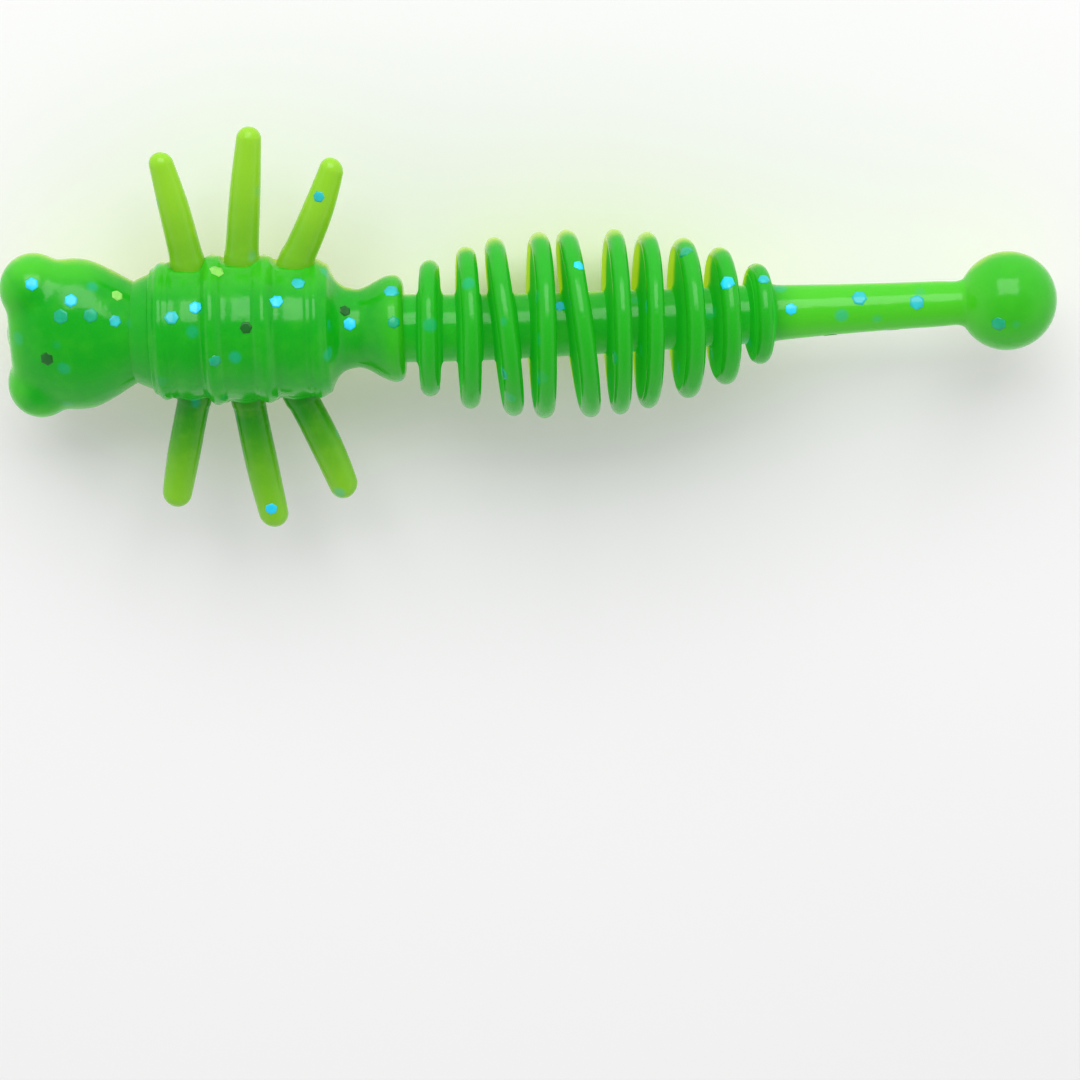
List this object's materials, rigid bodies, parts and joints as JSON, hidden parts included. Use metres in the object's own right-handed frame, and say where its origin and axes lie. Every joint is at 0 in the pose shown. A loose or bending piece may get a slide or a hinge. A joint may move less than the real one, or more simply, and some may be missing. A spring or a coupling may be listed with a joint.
{
  "type": "soft plastic nymph fishing lure",
  "caption": "Soft two-colour nymph lure: flat head with eye lobes, ribbed thorax with tapered legs, thin-ringed abdomen and a stem tail ending in a ball.",
  "frame": {"origin": "tip of the snout, on the body's axis, where a hook point goes in", "axes": "+X from the snout to the tail, +Y to the right side, +Z out of the green back; the two colours meet on z = 0"},
  "size_m": [0.05, 0.0199, 0.009],
  "materials": {
    "green_back": "wet-looking translucent green plastisol with blue glitter",
    "chartreuse_belly": "wet-looking translucent chartreuse plastisol with blue glitter",
    "leg_plastic": "thin translucent green to chartreuse plastisol",
    "glitter": "hexagonal metallised film flakes, bright blue"
  },
  "bodies": {
    "thorax": {"thorax_back": "green_back", "thorax_belly": "chartreuse_belly"},
    "neck": {"neck_back": "green_back", "neck_belly": "chartreuse_belly"},
    "head": {"head_back": "green_back", "head_belly": "chartreuse_belly"},
    "collar": {"collar_back": "green_back", "collar_belly": "chartreuse_belly"},
    "ring_1": {"ring_1_back": "green_back", "ring_1_belly": "chartreuse_belly"},
    "ring_2": {"ring_2_back": "green_back", "ring_2_belly": "chartreuse_belly"},
    "ring_3": {"ring_3_back": "green_back", "ring_3_belly": "chartreuse_belly"},
    "ring_4": {"ring_4_back": "green_back", "ring_4_belly": "chartreuse_belly"},
    "ring_5": {"ring_5_back": "green_back", "ring_5_belly": "chartreuse_belly"},
    "ring_6": {"ring_6_back": "green_back", "ring_6_belly": "chartreuse_belly"},
    "ring_7": {"ring_7_back": "green_back", "ring_7_belly": "chartreuse_belly"},
    "ring_8": {"ring_8_back": "green_back", "ring_8_belly": "chartreuse_belly"},
    "ring_9": {"ring_9_back": "green_back", "ring_9_belly": "chartreuse_belly"},
    "ring_10": {"ring_10_back": "green_back", "ring_10_belly": "chartreuse_belly"},
    "tail_base": {"tail_base_back": "green_back", "tail_base_belly": "chartreuse_belly"},
    "tail_shank": {"tail_shank_back": "green_back", "tail_shank_belly": "chartreuse_belly"},
    "tail_ball": {"tail_ball_back": "green_back", "tail_ball_belly": "chartreuse_belly"},
    "leg_front_right_root": {"leg_front_right_root": "leg_plastic"},
    "leg_front_right_tip": {"leg_front_right_tip": "leg_plastic"},
    "leg_middle_right_root": {"leg_middle_right_root": "leg_plastic"},
    "leg_middle_right_tip": {"leg_middle_right_tip": "leg_plastic"},
    "leg_rear_right_root": {"leg_rear_right_root": "leg_plastic"},
    "leg_rear_right_tip": {"leg_rear_right_tip": "leg_plastic"},
    "leg_front_left_root": {"leg_front_left_root": "leg_plastic"},
    "leg_front_left_tip": {"leg_front_left_tip": "leg_plastic"},
    "leg_middle_left_root": {"leg_middle_left_root": "leg_plastic"},
    "leg_middle_left_tip": {"leg_middle_left_tip": "leg_plastic"},
    "leg_rear_left_root": {"leg_rear_left_root": "leg_plastic"},
    "leg_rear_left_tip": {"leg_rear_left_tip": "leg_plastic"}
  },
  "joints": [
    {"name": "neck_swing", "type": "hinge", "parent": "thorax", "child": "neck", "pos_m": [0.0084, 0, 0], "axis": [0, 0, 1], "range_deg": [-8, 8], "stiffness_Nm_per_rad": 0.004},
    {"name": "head_nod", "type": "hinge", "parent": "neck", "child": "head", "pos_m": [0.00784, 0, 0], "axis": [0, 1, 0], "range_deg": [-12, 12], "stiffness_Nm_per_rad": 0.0035},
    {"name": "waist_swing", "type": "hinge", "parent": "thorax", "child": "collar", "pos_m": [0.01587, 0, 0], "axis": [0, 0, 1], "range_deg": [-15, 15], "stiffness_Nm_per_rad": 0.0012},
    {"name": "ring_1_bend", "type": "hinge", "parent": "collar", "child": "ring_1", "pos_m": [0.01856, 0, 0], "axis": [0, 1, 0], "range_deg": [-8, 8], "stiffness_Nm_per_rad": 0.00059314},
    {"name": "ring_2_bend", "type": "hinge", "parent": "ring_1", "child": "ring_2", "pos_m": [0.02027, 0, 0], "axis": [0, 0, 1], "range_deg": [-9, 9], "stiffness_Nm_per_rad": 0.00055981},
    {"name": "ring_3_bend", "type": "hinge", "parent": "ring_2", "child": "ring_3", "pos_m": [0.02202, 0, 0], "axis": [0, 1, 0], "range_deg": [-9, 9], "stiffness_Nm_per_rad": 0.00052725},
    {"name": "ring_4_bend", "type": "hinge", "parent": "ring_3", "child": "ring_4", "pos_m": [0.02376, 0, 0], "axis": [0, 0, 1], "range_deg": [-6, 9], "stiffness_Nm_per_rad": 0.00049614},
    {"name": "ring_5_bend", "type": "hinge", "parent": "ring_4", "child": "ring_5", "pos_m": [0.02551, 0, 0], "axis": [0, 1, 0], "range_deg": [-8.5, 8.5], "stiffness_Nm_per_rad": 0.00046642},
    {"name": "ring_6_bend", "type": "hinge", "parent": "ring_5", "child": "ring_6", "pos_m": [0.02725, 0, 0], "axis": [0, 0, 1], "range_deg": [-5.5, 9], "stiffness_Nm_per_rad": 0.00043806},
    {"name": "ring_7_bend", "type": "hinge", "parent": "ring_6", "child": "ring_7", "pos_m": [0.02899, 0, 0], "axis": [0, 1, 0], "range_deg": [-6.5, 6.5], "stiffness_Nm_per_rad": 0.00041101},
    {"name": "ring_8_bend", "type": "hinge", "parent": "ring_7", "child": "ring_8", "pos_m": [0.03074, 0, 0], "axis": [0, 0, 1], "range_deg": [-9, 9], "stiffness_Nm_per_rad": 0.00038523},
    {"name": "ring_9_bend", "type": "hinge", "parent": "ring_8", "child": "ring_9", "pos_m": [0.03248, 0, 0], "axis": [0, 1, 0], "range_deg": [-9, 9], "stiffness_Nm_per_rad": 0.00036068},
    {"name": "ring_10_bend", "type": "hinge", "parent": "ring_9", "child": "ring_10", "pos_m": [0.03423, 0, 0], "axis": [0, 0, 1], "range_deg": [-9, 9], "stiffness_Nm_per_rad": 0.00033733},
    {"name": "tail_base_bend", "type": "hinge", "parent": "ring_10", "child": "tail_base", "pos_m": [0.03613, 0, 0], "axis": [0, 1, 0], "range_deg": [-15, 15], "stiffness_Nm_per_rad": 0.00025},
    {"name": "tail_shank_bend", "type": "hinge", "parent": "tail_base", "child": "tail_shank", "pos_m": [0.04033, 0, 0], "axis": [0, 0, 1], "range_deg": [-25, 25], "stiffness_Nm_per_rad": 0.00013694},
    {"name": "tail_ball_bend", "type": "hinge", "parent": "tail_shank", "child": "tail_ball", "pos_m": [0.04463, 0, 0], "axis": [0, 1, 0], "range_deg": [-25, 25], "stiffness_Nm_per_rad": 0.00007308},
    {"name": "leg_front_right_flap", "type": "hinge", "parent": "thorax", "child": "leg_front_right_root", "pos_m": [0.00898, 0.0035, 0], "axis": [1, 0, 0], "range_deg": [-25, 25], "stiffness_Nm_per_rad": 0.000034},
    {"name": "leg_front_right_knee", "type": "hinge", "parent": "leg_front_right_root", "child": "leg_front_right_tip", "pos_m": [0.00858, 0.00585, 0], "axis": [0, 0, 1], "range_deg": [-25, 25], "stiffness_Nm_per_rad": 0.00002},
    {"name": "leg_middle_right_flap", "type": "hinge", "parent": "thorax", "child": "leg_middle_right_root", "pos_m": [0.01138, 0.0037, 0], "axis": [1, 0, 0], "range_deg": [-25, 25], "stiffness_Nm_per_rad": 0.000034},
    {"name": "leg_middle_right_knee", "type": "hinge", "parent": "leg_middle_right_root", "child": "leg_middle_right_tip", "pos_m": [0.0117, 0.00649, 0], "axis": [0, 0, 1], "range_deg": [-25, 25], "stiffness_Nm_per_rad": 0.00002},
    {"name": "leg_rear_right_flap", "type": "hinge", "parent": "thorax", "child": "leg_rear_right_root", "pos_m": [0.01379, 0.00352, 0], "axis": [1, 0, 0], "range_deg": [-25, 25], "stiffness_Nm_per_rad": 0.000034},
    {"name": "leg_rear_right_knee", "type": "hinge", "parent": "leg_rear_right_root", "child": "leg_rear_right_tip", "pos_m": [0.01477, 0.00562, 0], "axis": [0, 0, 1], "range_deg": [-25, 25], "stiffness_Nm_per_rad": 0.00002},
    {"name": "leg_front_left_flap", "type": "hinge", "parent": "thorax", "child": "leg_front_left_root", "pos_m": [0.00898, -0.0035, 0], "axis": [-1, 0, 0], "range_deg": [-25, 25], "stiffness_Nm_per_rad": 0.000034},
    {"name": "leg_front_left_knee", "type": "hinge", "parent": "leg_front_left_root", "child": "leg_front_left_tip", "pos_m": [0.0084, -0.00581, 0], "axis": [0, 0, 1], "range_deg": [-25, 25], "stiffness_Nm_per_rad": 0.00002},
    {"name": "leg_middle_left_flap", "type": "hinge", "parent": "thorax", "child": "leg_middle_left_root", "pos_m": [0.01138, -0.0037, 0], "axis": [-1, 0, 0], "range_deg": [-25, 25], "stiffness_Nm_per_rad": 0.000034},
    {"name": "leg_middle_left_knee", "type": "hinge", "parent": "leg_middle_left_root", "child": "leg_middle_left_tip", "pos_m": [0.01175, -0.00649, 0], "axis": [0, 0, 1], "range_deg": [-25, 25], "stiffness_Nm_per_rad": 0.00002},
    {"name": "leg_rear_left_flap", "type": "hinge", "parent": "thorax", "child": "leg_rear_left_root", "pos_m": [0.01379, -0.00352, 0], "axis": [-1, 0, 0], "range_deg": [-25, 25], "stiffness_Nm_per_rad": 0.000034},
    {"name": "leg_rear_left_knee", "type": "hinge", "parent": "leg_rear_left_root", "child": "leg_rear_left_tip", "pos_m": [0.0147, -0.00565, 0], "axis": [0, 0, 1], "range_deg": [-25, 25], "stiffness_Nm_per_rad": 0.00002}
  ]
}
